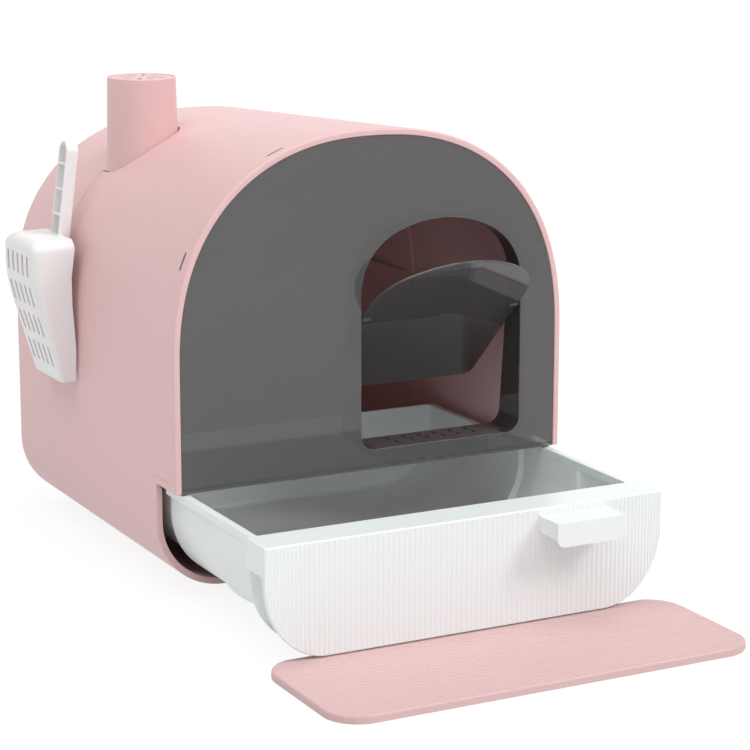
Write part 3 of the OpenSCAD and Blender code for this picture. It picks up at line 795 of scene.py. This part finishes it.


# One smoke-tinted styrene is given three greys by the light on each piece: the panel's grey is the lightest,
# as painted light.
smoke_panel_painted_light = tinted_clear("smoke_tinted_styrene_painted_light", "838182", 0.6)
dress(front_panel, smoke_panel_painted_light, "housing", "front_panel")

# ---- Entry tunnel ----
# A short tinted collar behind the entrance, with a flange on the panel and bosses for the flap's pins.

tunnel_wall = 2.4
flange = 4
tunnel_front = panel_back + 0.05
tunnel_back = tunnel_front + 41.5
tunnel_lean = math.tan(math.radians(5.4))
boss_radius = 4
boss_length = 5
step_half = 77.7
pivot_y = panel_back + 1.9
pivot_height = 280.6
# Corners of the collar's section: how far out of the entrance line, the depth, and 1 on the leaning back edge
collar = ((0, tunnel_front, 0), (tunnel_wall + flange, tunnel_front, 0),
          (tunnel_wall + flange, tunnel_front + 2, 0), (tunnel_wall, tunnel_front + 2, 0),
          (tunnel_wall, tunnel_back, 1), (0, tunnel_back, 1))
collar_lines = []
for grow, y, leaning in collar:
    line = mirrored([(step_half, sill - grow)] + entrance_outline(grow), entrance_x)
    collar_lines.append([(x, y - leaning * tunnel_lean * (z - sill), z) for x, z in line])
entry_tunnel = new_piece("entry_collar", round_edges(loft(zip(*collar_lines)), 0.4, segments=2))
for side in (-1, 1):
    place = shift(entrance_x + side * (entrance_half + tunnel_wall - 0.5), pivot_y, pivot_height)
    join(entry_tunnel, rod(boss_radius, boss_length), place @ spin("Y", 90 * side))
# The collar's grey is the darkest of the three, as painted shade inside the entrance.
smoke_collar_painted_shade = tinted_clear("smoke_tinted_collar_painted_shade", "656263", 0.7)
dress(entry_tunnel, smoke_collar_painted_shade, "housing", "entry_tunnel")

# ---- Step plate ----
# A dark ribbed sill plate that the cat steps on; two rows of slots let litter fall back into the drawer.

rib_pitch = 19
rib_thick = 3
plate_thick = 1.3
plate_half = step_half - 0.1
rib_top = sill - plate_thick + 0.5
step_back = tunnel_back + 2.8
slots_in_row = 6
drain_width = 3.4
drain_length = 9.5
# Each row of slots: its distance from the front edge and its shift to the right
drain_rows = ((18.7, 4.2), (32.5, 1.1))
bm = block(entrance_x - plate_half, entrance_x + plate_half, tunnel_front, step_back,
           sill - plate_thick, sill)
step_plate = new_piece("sill_step", round_edges(bm, 0.4))
for i in range(-3, 4):
    x = entrance_x + i * rib_pitch
    join(step_plate, block(x - rib_thick / 2, x + rib_thick / 2, tunnel_front + 0.5, step_back - 3,
                           hood_edge, rib_top))
join(step_plate, block(entrance_x - 3 * rib_pitch, entrance_x + 3 * rib_pitch, step_back - 5, step_back - 3,
                       hood_edge, rib_top))
for row, aside in drain_rows:
    for i in range(slots_in_row):
        x = entrance_x + (i - (slots_in_row - 1) / 2) * rib_pitch + aside
        drain = extrude([slot_outline(drain_width, drain_length)], -8, 8)
        cut(step_plate, drain, shift(x, tunnel_front + row, sill) @ through_z)
dark_plastic = polypropylene("dark_step_plastic", "5a5354", 0.3)
dress(step_plate, dark_plastic, "housing", "step_plate")

# ---- Swing flap ----
# A tinted clear door, 2.6 mm thick, that turns on two pins near its shoulders; it is pushed half open.

flap_tilt = 46.2
flap_thick = 2.6
flap_half = 93.9
flap_low = 139.2
flap_shoulder = 59.6
flap_shoulder_z = 22.6
flap_crown = 120.4
flap_top = 92.7
flap_corner = 11
barrel_radius = 2.8
barrel_length = 10

at_flap = shift(entrance_x, pivot_y, pivot_height) @ spin("X", flap_tilt)
flap_outline = door_half(flap_half, -flap_low, flap_top, flap_corner, flap_shoulder, flap_shoulder_z,
                         flap_crown, 8)
bm = extrude([mirrored(flap_outline, 0)], -flap_thick / 2, flap_thick / 2)
flap = new_piece("swing_flap", round_edges(bm, 0.7), at_flap)
for side in (-1, 1):
    place = at_flap @ shift(side * (flap_half - 0.1), 0, 0) @ spin("Y", -90 * side)
    join(flap, rod(barrel_radius, barrel_length), place)
# The flap's grey is darker than the panel's, as painted shade on its downward face.
smoke_flap_painted_shade = tinted_clear("smoke_tinted_flap_painted_shade", "777576", 0.7)
dress(flap, smoke_flap_painted_shade, "flap_door", "flap")


def keep_node(name, finish, rounding):
    """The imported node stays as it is, with soft edges and a finish of its own."""
    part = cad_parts[name]
    part.material_slots[0].material = finish
    step = part.modifiers.new("soft_edges", "BEVEL")
    step.width = rounding * MM
    step.segments = 2
    step.limit_method = "ANGLE"
    step.angle_limit = math.radians(40)


keep_node("flap_pins", dark_plastic, 0.3)

# ---- Drawer tub ----
# A white polypropylene litter tub with large round lower edges, in three stretches that get smaller behind.
# Its rim is folded over into a straight hollow edge, and the rear stretch slides on two skids.

tub_front = -397.9
tub_back = 22.1
tub_wall = 2.6
tub_round = 9
tub_corner = 75
tub_corner_growth = 22
tub_groove_y = -300.9
tub_groove_half = 1.7
tub_groove_depth = 1.3
first_step = -302.5
second_step = -188
step_run = 3.2
rim_bead = 1
skid_x = 120
skid_half = 7
# Each stretch: where it starts, half width, floor height, rim top, half widths of the rim outside and inside,
# and height of the rim
tub_stretches = ((tub_front, 217, 9.5, 116.8, 219.2, 210.7, 8.4),
                 (first_step, 213.5, 12, 116.8, 219.2, 210.7, 8.4),
                 (second_step, 209, 16.5, 112.3, 213.5, 206.2, 4))


def tub_sizes(y):
    """The sizes at a depth, which change over a short run at each step."""
    sizes = tub_stretches[0][1:]
    for start, *following in tub_stretches[1:]:
        share = min(1, max(0, (y - start) / step_run + 0.5))
        sizes = [a + (b - a) * share for a, b in zip(sizes, following)]
    return sizes


def tub_outline(y, inset, outside):
    """Open outline of the tub from the left rim round the floor to the right rim."""
    half, low, top, rim_out, rim_in, rim_tall = tub_sizes(y)
    forward = min(1, max(0, (first_step - y) / (first_step - tub_front)))
    half, low, corner = half - inset, low + inset, tub_corner + tub_corner_growth * forward - inset
    under = top - rim_tall
    if outside:
        half -= tub_groove_depth * max(0, 1 - abs(y - tub_groove_y) / tub_groove_half)
        left = arc(rim_bead - rim_out, top - rim_bead, rim_bead, 90, 180, 3)
        left += [(-rim_out, under + 0.7), (0.5 - rim_out, under)]
    else:
        rim_in = min(rim_in, half - 0.2)
        left = arc(-rim_in - rim_bead, top - rim_bead, rim_bead, 90, 0, 3)
        left += [(-rim_in, under + 0.7), (-rim_in, under)]
    left += [(-half, z) for z in (under - 0.4, 107.5, 107, 106.5)]
    left += arc(corner - half, low + corner, corner, 180, 270, 18)
    return both_sides(left + [(-0.4 * (half - corner), low)])


# Rows of the wall: outer depth and inset, then inner depth and inset. They stand close at the two steps.
tub_depths = [tub_front + 6, -370, -335, -315, -306, -299, -280, -240, -200, -191, -184, -172, -140, -90,
              -40, -10]
tub_depths += [start + share * step_run for start in (first_step, second_step)
               for share in (-0.5, -0.375, 0, 0.375, 0.5)]
tub_rows = [(tub_front, 0, tub_front + tub_wall, 0)] + [(y, 0, y, 0) for y in sorted(tub_depths)]
for turn in (0, 18, 36, 54, 72, 90):
    reach, bend = math.sin(math.radians(turn)), 1 - math.cos(math.radians(turn))
    tub_rows.append((tub_back - tub_round * (1 - reach), tub_round * bend,
                     tub_back - tub_round + (tub_round - tub_wall) * reach, (tub_round - tub_wall) * bend))
outer, inner = [], []
for y, bend, inner_y, inner_bend in tub_rows:
    outer.append(at_depth(y, tub_outline(y, bend, True)))
    inner.append(at_depth(inner_y, tub_outline(inner_y, tub_wall + inner_bend, False)))
across_tub = (0, len(outer[0]) - 1)
drawer_tub = new_piece("litter_tub", skin(outer, inner, start_cap=across_tub, end_cap=across_tub))
for x in (-skid_x, skid_x):
    skid = block(x - skid_half, x + skid_half, second_step + 8.5, tub_back - 8, 12, 17.5)
    join(drawer_tub, round_edges(skid, 0.6, segments=2))
# The white leans slightly cool, which paints out the pink light that the mat and the housing bounce onto the
# drawer.
white_plastic = polypropylene("white_polypropylene", "f2f8f8", 0.3)
dress(drawer_tub, white_plastic, "drawer", "drawer_tub")

# ---- Drawer front ----
# A white fluted face with a plain ledge on top, plain shoulders at the ends and a skirt set in behind it.

face_y = -441
front_back = -398
front_half = 225
drawer_top = 117.6
face_bottom = 0.6
face_rx = 68
face_rz = 79
face_plate = 4
face_rim_back = -436.5
skirt_inset = 13
back_inset = 3
skirt_wall = 2.5
skirt_top = 100
shoulder_bottom = 87
flute_depth = 0.68
flute_steps = 8
flute_fade = 3
edge_round = 1.8

# The flutes are 5.87 mm apart over the middle of the face and draw together towards both ends
crests = [2.5 + 5.866 * n for n in range(26)]
for k in range(17):
    crests.append(crests[-1] + 5.75 - 0.17 * k)
crests = [-x for x in reversed(crests)] + crests


def face_low(x):
    """Lower edge of the drawer face at x, and how level the edge is there."""
    past = abs(x) - (front_half - face_rx)
    if past <= 0:
        return face_bottom, 1
    share = min(1, past / face_rx)
    rise = math.sqrt(max(0, 1 - share * share))
    across_part, up_part = share / face_rx, rise / face_rz
    return face_bottom + face_rz * (1 - rise), up_part / math.hypot(across_part, up_part)


def edge_fall(inside, radius):
    """How far a face curves back at a distance inside its rounded edge."""
    if inside >= radius:
        return 0
    return radius - math.sqrt(max(0, radius ** 2 - (radius - inside) ** 2))


columns = [(-front_half + e, 0) for e in (0, 0.15, 0.5)]
for a, b in zip(crests, crests[1:]):
    shares = [k / flute_steps for k in range(flute_steps)]
    columns += [(a + (b - a) * t, flute_depth * 0.5 * (1 - math.cos(2 * math.pi * t))) for t in shares]
columns += [(front_half - e, 0) for e in (front_half - crests[-1], 0.5, 0.15, 0)]
insides = (0, 0.12, 0.45, 1, edge_round, flute_fade)
strips = []
for x, sunk in columns:
    low, level = face_low(x)
    heights = [(low + min(inside / max(level, 0.12), 6), inside) for inside in insides]
    heights += [(drawer_top - inside, inside) for inside in reversed(insides)]
    side = front_half - abs(x)
    strip = [(x, face_y + sunk * min(1, inside / flute_fade) + edge_fall(min(inside, side), edge_round), z)
             for z, inside in heights]
    strips.append(strip + [(x, face_y + face_plate, drawer_top), (x, face_y + face_plate, low)])
drawer_front = new_piece("fluted_front", loft(strips))


def front_plate(inset, y0, y1, top=skirt_top, rounding=0):
    """Solid plate with the drawer front's outline moved inwards: straight on top, round lower corners."""
    rx, rz = face_rx - inset, face_rz - inset
    left = [(inset - front_half, top)]
    left += [(inset - front_half + rx + rx * c, face_bottom + inset + rz + rz * s)
             for c, s in arc(0, 0, 1, 180, 270, 18)]
    bm = extrude([both_sides(left)], y0, y1)
    if rounding:
        round_edges(bm, rounding, lambda p: p.y > y1 - 0.1)
    return bm


# Behind the face: its rim, the skirt set in behind it, the back edge and the shoulders at the ends
plate_back = face_y + face_plate
front_box = new_piece("front_box", front_plate(0, plate_back - 0.5, face_rim_back, rounding=1))
join(front_box, front_plate(skirt_inset, face_rim_back - 2, front_back - 2))
join(front_box, front_plate(back_inset, front_back - 4, front_back, rounding=0.8))
shoulders = block(-front_half, front_half, plate_back - 0.5, front_back, shoulder_bottom, drawer_top)
join(front_box, round_edges(shoulders, 0.8, lambda p: p.y > plate_back))
cut(front_box, front_plate(skirt_inset + skirt_wall, plate_back + 1, front_back + 1, top=95))
cut(front_box, block(skirt_wall - front_half, front_half - skirt_wall, plate_back + 1, front_back + 1,
                     shoulder_bottom + skirt_wall, drawer_top - skirt_wall))
combine(drawer_front, front_box, "UNION")
dress(drawer_front, white_plastic, "drawer", "drawer_front", smooth_below=50)

# ---- Drawer handle ----
# A hollow block handle of white plastic, right of the middle, held by two screws from inside the face.

handle_x = 118.2
handle_half = 39.25
handle_front = face_y - 35
handle_top = 110
handle_low = 85
handle_side_low = 93
handle_wall = 3
handle_corner = 9

plate = [(handle_x - handle_half, handle_top)]
plate += arc(handle_x - handle_half + handle_corner, handle_low + handle_corner, handle_corner, 180, 270, 9)
plate += [(2 * handle_x - x, z) for x, z in reversed(plate)]
drawer_handle = new_piece("handle_cage", extrude([plate], handle_front, handle_front + handle_wall))
join(drawer_handle, block(handle_x - handle_half, handle_x + handle_half, handle_front + 1, face_y,
                          handle_side_low, handle_top))
hollow_half = handle_half - handle_wall
cut(drawer_handle, block(handle_x - hollow_half, handle_x + hollow_half, handle_front + handle_wall,
                         face_y - 2.5, handle_low - 5, handle_top - handle_wall))
bm = bmesh.new()
bm.from_mesh(drawer_handle.data)
bmesh.ops.dissolve_limit(bm, angle_limit=math.radians(2), verts=bm.verts, edges=bm.edges)
round_edges(bm, 0.9 * MM)
bm.to_mesh(drawer_handle.data)
bm.free()
dress(drawer_handle, white_plastic, "drawer", "drawer_handle")


def plated_steel(name):
    """Zinc-plated steel wire, drawn to size, with faint drawing marks."""
    finish, tree, place = new_finish(name)
    marks = add_node(tree, "ShaderNodeTexNoise", {"Vector": place, "Scale": 1 / (0.4 * MM), "Detail": 2})
    gloss = add_node(tree, "ShaderNodeMapRange", {"Value": marks.outputs["Fac"], "To Min": 0.28,
                                                  "To Max": 0.42})
    metal = add_node(tree, "ShaderNodeBsdfPrincipled",
                     {"Base Color": to_linear("c3c3c5"), "Metallic": 1, "Roughness": gloss.outputs[0]})
    add_node(tree, "ShaderNodeOutputMaterial", {"Surface": metal.outputs[0]})
    return finish


steel = plated_steel("zinc_plated_steel")
keep_node("handle_screws", steel, 0.3)

# ---- Scoop ----
# A pale slotted litter scoop hangs head down on the left side, its open side to the wall.

scoop_y = 79.5
scoop_half = 48.5
scoop_top = 341.5
scoop_bottom = 182
scoop_wall = 2.4
scoop_round = 13
scoop_mouth_x = -229
# The head's shape by height: where its outer face is, its half width, its corners and its curved back edge
face_curve = ((scoop_bottom, -246), (200, -251), (240, -262.5), (275, -273), (292, -276.5), (305, -278))
half_curve = ((scoop_bottom, 42), (225, 47.5), (260, scoop_half))
corner_curve = ((scoop_bottom, 3.5), (230, 7), (300, 11), (400, 12))
back_curve = ((scoop_bottom, scoop_mouth_x), (215, -229.4), (270, -233.5), (300, -233.5),
              (scoop_top - 10, scoop_mouth_x))


def between(value, pairs):
    """Straight interpolation through (input, output) pairs in rising order."""
    for (a, p), (b, q) in zip(pairs, pairs[1:]):
        if value <= b:
            return p + (q - p) * max(0, (value - a) / (b - a))
    return pairs[-1][1]


def scoop_row(z, inset):
    """One level of the head, as an open outline from the back edge round the outer face to the back edge."""
    face, half = between(z, face_curve), between(z, half_curve)
    corner, back = between(z, corner_curve), between(z, back_curve)
    level = max(0, min(1, (z - (scoop_top - scoop_round)) / scoop_round))
    pulled = scoop_round * (1 - math.sqrt(max(0, 1 - level * level)))
    face, half = face + inset + pulled, half - inset - pulled
    corner = max(1, corner - inset * 0.8)
    points = [(back, -half), ((back * 0.6 + (face + corner) * 0.4), -half)]
    points += arc(face + corner, corner - half, corner, 270, 180, 8) + [(face, 0)]
    return [(x, scoop_y + y) for x, y in points] + [(x, scoop_y - y) for x, y in reversed(points[:-1])]


dome_base = scoop_top - scoop_round
levels = [scoop_bottom, 190, 200, 212, 225, 240, 258, 270, 284, 292, 300, 310, 320]
levels += [dome_base + scoop_round * math.sin(math.radians(a)) for a in (0, 15, 30, 45, 58, 70, 80)]
outer, inner = [], []
for z in levels:
    drop = max(0, z - dome_base) / scoop_round * scoop_wall
    outer.append([(x, y, z) for x, y in scoop_row(z, 0)])
    inner.append([(x, y, z - drop) for x, y in scoop_row(z, scoop_wall)])
bm = skin(outer, inner, end_cap=(0, len(outer[0]) - 1))
round_edges(bm, 0.8, lambda p: p.x > scoop_mouth_x - 6 or p.z < scoop_bottom + 1, segments=2)
scoop = new_piece("scoop_head", bm)

slot_rows = 4
slots_per_row = 5
scoop_slot = 5.6
scoop_slot_high = 24
slot_pitch = 15
row_pitch = 34
top_row = 300.5
quarter = spin("Z", -90)
for row in range(slot_rows):
    for i in range(slots_per_row):
        place = shift(0, scoop_y + (i - 2) * slot_pitch, top_row - row_pitch * row + scoop_slot_high / 2)
        cut(scoop, extrude([slot_outline(scoop_slot, scoop_slot_high)], -300, -236), place @ quarter)

# The grip is a channel with three ribs across it; it stands on the head and leans towards the wall
grip_width = 25
grip_depth = 13.5
grip_length = 98
grip_wall = 2.6
grip_ribs = (28, 56, 84)
rib_wall = 2.4
grip_lean = 7.6
at_grip = shift(-228.5, scoop_y, scoop_top - 7.8) @ spin("Y", grip_lean) @ quarter


def grip_outline(half, foot, end):
    """Long outline with one round end, about the grip's middle line."""
    return [(half, foot)] + arc(0, end, half, 0, 180, 20) + [(-half, foot)]


bm = extrude([grip_outline(grip_width / 2, -4, grip_length)], -grip_depth / 2, grip_depth / 2)
grip = new_piece("grip", round_edges(bm, 1.0), at_grip)
pocket_half = grip_width / 2 - grip_wall
stops = [6] + [z for rib in grip_ribs for z in (rib, rib + rib_wall)] + [grip_length]
for low, high in zip(stops[::2], stops[1::2]):
    pocket = [(pocket_half, low), (pocket_half, high), (-pocket_half, high), (-pocket_half, low)]
    if high == grip_length:
        pocket = grip_outline(pocket_half, low, high)
    cut(grip, extrude([pocket], -grip_depth, grip_depth / 2 - rib_wall), at_grip)
combine(scoop, grip, "UNION")
scoop_plastic = polypropylene("scoop_polypropylene", "f2f1f1", 0.36)
dress(scoop, scoop_plastic, "hung_scoop", "scoop")

# ---- Hidden fittings ----
# The scoop's hook, the filter in the chimney and the pins and screws stay as packed, each in its own finish.


def carbon_foam(name, cell_mm=1.5):
    """Activated carbon foam: open black cells about 1.5 mm across."""
    finish, tree, place = new_finish(name)
    cells = add_node(tree, "ShaderNodeTexVoronoi", {"Vector": place, "Scale": 1 / (cell_mm * MM)})
    bump = add_node(tree, "ShaderNodeBump", {"Height": cells.outputs["Distance"], "Strength": 0.8,
                                             "Distance": 0.5 * MM})
    foam = add_node(tree, "ShaderNodeBsdfPrincipled",
                    {"Base Color": to_linear("2b2a2a"), "Roughness": 0.9, "IOR": 1.45,
                     "Normal": bump.outputs[0]})
    add_node(tree, "ShaderNodeOutputMaterial", {"Surface": foam.outputs[0]})
    return finish


keep_node("scoop_hook", pink_plastic, 0.5)
keep_node("hook_screws", steel, 0.3)
keep_node("cover_hinge_pins", steel, 0.2)
keep_node("filter_cup", white_plastic, 0.3)
keep_node("carbon_filter", carbon_foam("activated_carbon_foam"), 0.4)

# ---- Mat ----
# A loose pink mat with its rear edge under the drawer front; fine grooves cross it inside a plain border.

mat_back = face_y + 12.6
mat_front = mat_back - 172.2
mat_half = 231.7
mat_x = 5.6
mat_thick = 8
mat_corner = 36
mat_border = 4.6
mat_ribs = 21
mat_round = 2.2
mat_foot_round = 0.8
groove_width = 2.2
groove_depth = 1.5


def rounded_half(y, front, back, half, corner):
    """Half width of a rectangle with round corners at depth y."""
    near = min(y - front, back - y)
    if near >= corner:
        return half
    return half - corner + math.sqrt(max(0, corner ** 2 - (corner - max(0, near)) ** 2))


field_front, field_back = mat_front + mat_border, mat_back - mat_border
field_half, field_corner = mat_half - mat_border, mat_corner - mat_border
rib_step = (field_back - field_front) / mat_ribs
edge_steps = (0, 0.15, 0.6, 1.3, mat_round)
inside_edge = 2.9
depths = [mat_front + e for e in edge_steps + (inside_edge,)]
for k in range(mat_ribs + 1):
    middle = field_front + k * rib_step
    depths += [middle + groove_width / 2 * share for share in (-1, -0.6, -0.25, 0.25, 0.6, 1)]
depths += [mat_back - e for e in reversed(edge_steps + (inside_edge,))]
rows = []
for y in depths:
    half = rounded_half(y, mat_front, mat_back, mat_half, mat_corner)
    field_y = min(max(y, field_front), field_back)
    field = rounded_half(field_y, field_front, field_back, field_half, field_corner)
    field = min(field, half - mat_round - 0.5)
    near = (y - field_front) / rib_step
    off = abs(near - round(near)) * rib_step / (groove_width / 2)
    in_field = -0.5 < near < mat_ribs + 0.5
    sunk = groove_depth * 0.5 * (1 + math.cos(math.pi * min(1, off))) if in_field else 0
    edge_y = min(y - mat_front, mat_back - y)
    flat = mat_thick - edge_fall(edge_y, mat_round)
    left = [(-half + e, mat_thick - edge_fall(min(e, edge_y), mat_round)) for e in edge_steps]
    left += [(-field, flat), (-field + 1.2, flat - sunk), (-field * 0.5, flat - sunk)]
    foot = [(half, mat_foot_round), (half - mat_foot_round, 0)]
    foot += [(-x, z) for x, z in reversed(foot)]
    rows.append([(mat_x + x, y, z) for x, z in both_sides(left) + foot])
mat = new_piece("ribbed_mat", loft(rows), lift=0)
mat_plastic = polypropylene("mat_elastomer", "d8b5b5", 0.55, grain_depth=0.003)
dress(mat, mat_plastic, "floor_mat", "mat", smooth_below=60)
